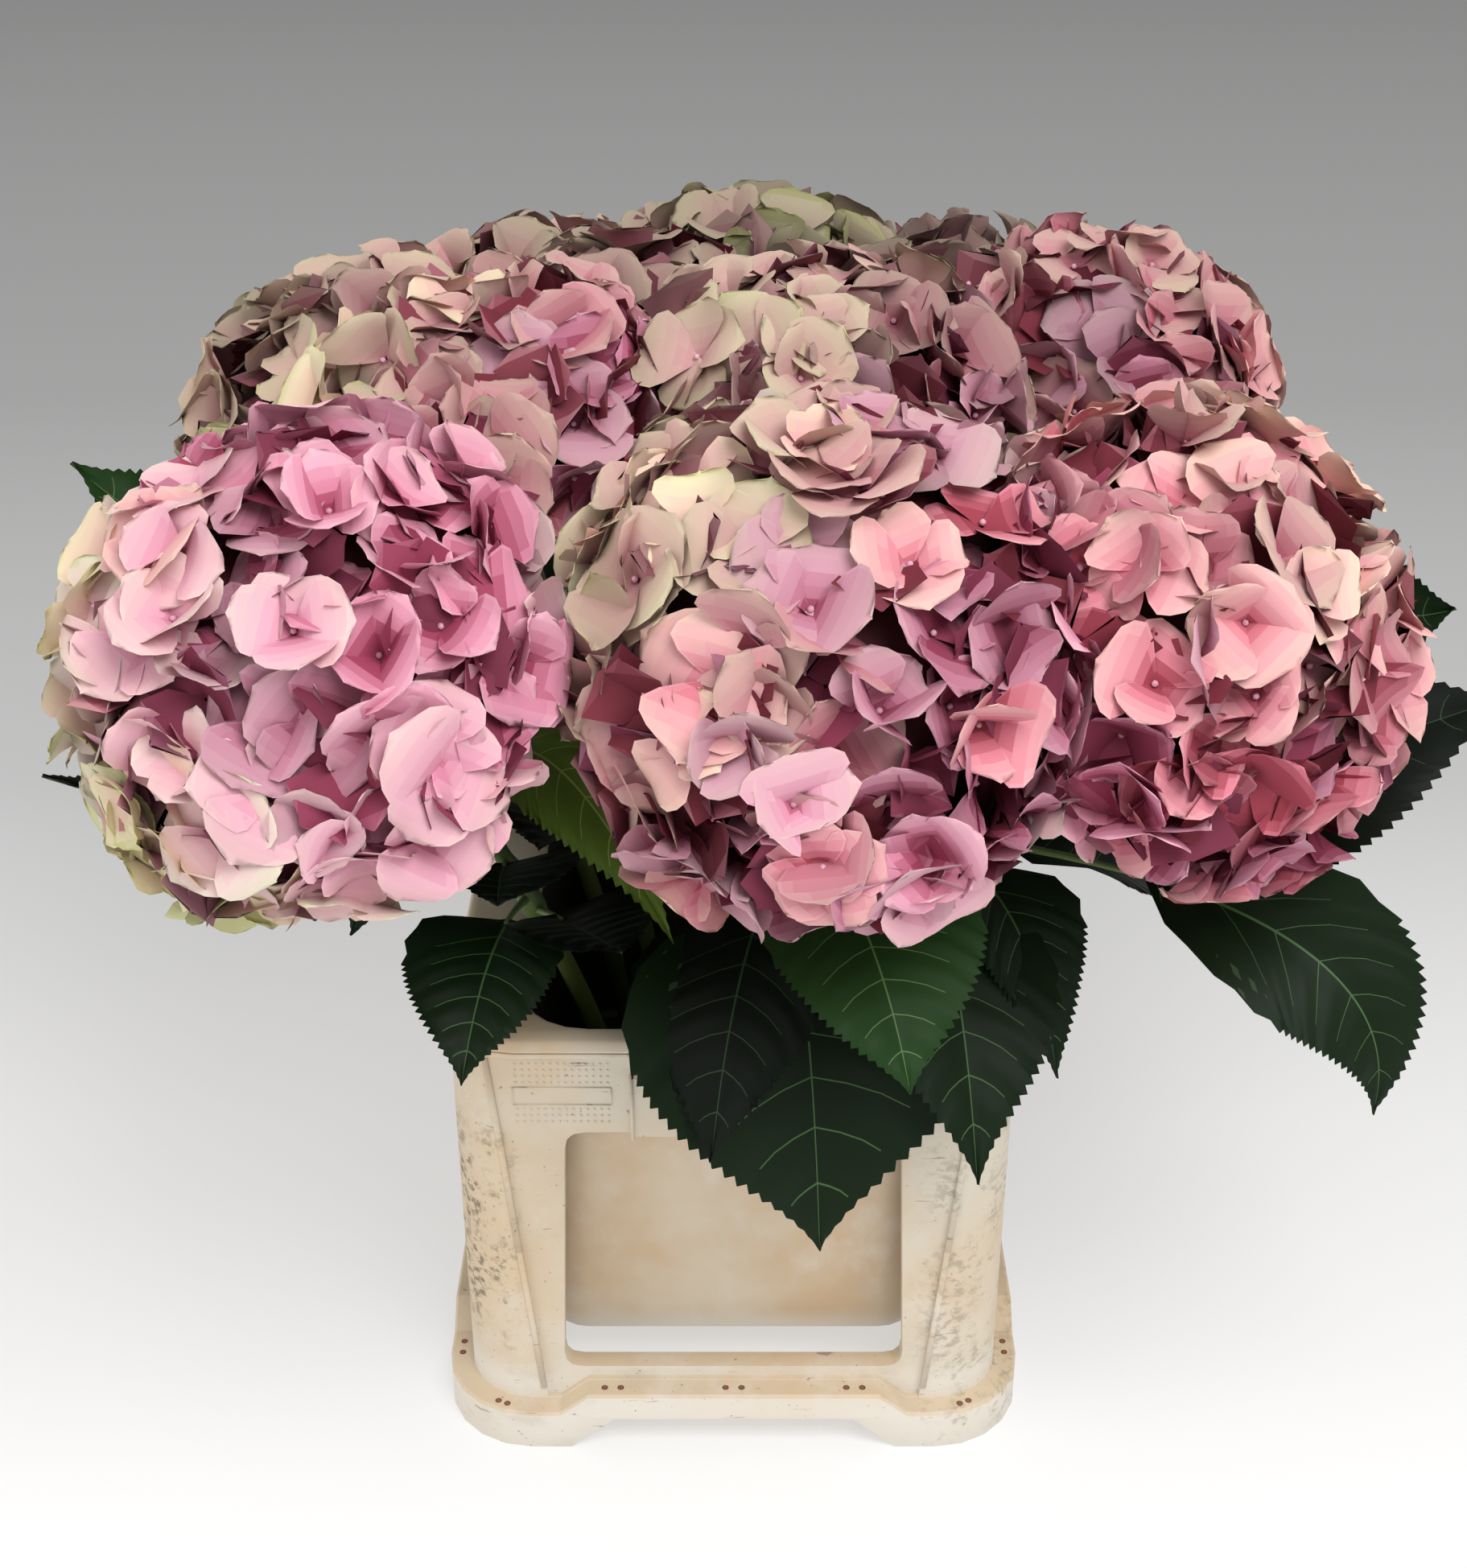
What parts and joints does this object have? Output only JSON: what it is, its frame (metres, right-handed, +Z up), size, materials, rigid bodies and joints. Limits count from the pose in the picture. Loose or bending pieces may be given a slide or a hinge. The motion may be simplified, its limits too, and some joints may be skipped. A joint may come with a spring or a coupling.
{
  "type": "cut hydrangea stems in a flower bucket",
  "caption": "Full bunch of cut hydrangea stems with large round pink blooms and dark leaves, standing in a worn cream plastic flower bucket with an open-sided outer frame.",
  "frame": {"origin": "middle of the bounding box, level with the underside of the bucket's foot", "axes": "+Z up, -Y towards the front that the picture shows, +X to the right in the picture"},
  "size_m": [0.677, 0.666, 0.5785],
  "materials": {
    "bucket_frame": "matte, faded and scuffed",
    "bucket_vessel": "matte, faded",
    "stem": "satin",
    "leaf": "satin",
    "petal": "matte"
  },
  "bodies": {
    "root": {"bloom_back_left": "petal", "bloom_back_middle": "petal", "bloom_back_right": "petal", "bloom_centre_left": "petal", "bloom_centre_right": "petal", "bloom_far_left": "petal", "bloom_front_left": "petal", "bloom_front_middle": "petal", "bloom_front_right": "petal", "bloom_middle": "petal", "bloom_middle_left": "petal", "bloom_middle_right": "petal", "bloom_rear_left": "petal", "bloom_rear_right": "petal", "container_band": "bucket_frame", "container_foot": "bucket_frame", "container_post_back_left": "bucket_frame", "container_post_back_right": "bucket_frame", "container_post_front_left": "bucket_frame", "container_post_front_right": "bucket_frame", "container_rim": "bucket_vessel", "container_vessel": "bucket_vessel", "foliage_back_left": "leaf", "foliage_back_middle": "leaf", "foliage_back_right": "leaf", "foliage_centre_left": "leaf", "foliage_centre_right": "leaf", "foliage_far_left": "leaf", "foliage_front_left": "leaf", "foliage_front_middle": "leaf", "foliage_front_right": "leaf", "foliage_middle": "leaf", "foliage_middle_left": "leaf", "foliage_middle_right": "leaf", "foliage_rear_left": "leaf", "foliage_rear_right": "leaf", "stem_back_left": "stem", "stem_back_middle": "stem", "stem_back_right": "stem", "stem_centre_left": "stem", "stem_centre_right": "stem", "stem_far_left": "stem", "stem_front_left": "stem", "stem_front_middle": "stem", "stem_front_right": "stem", "stem_middle": "stem", "stem_middle_left": "stem", "stem_middle_right": "stem", "stem_rear_left": "stem", "stem_rear_right": "stem"}
  },
  "joints": []
}
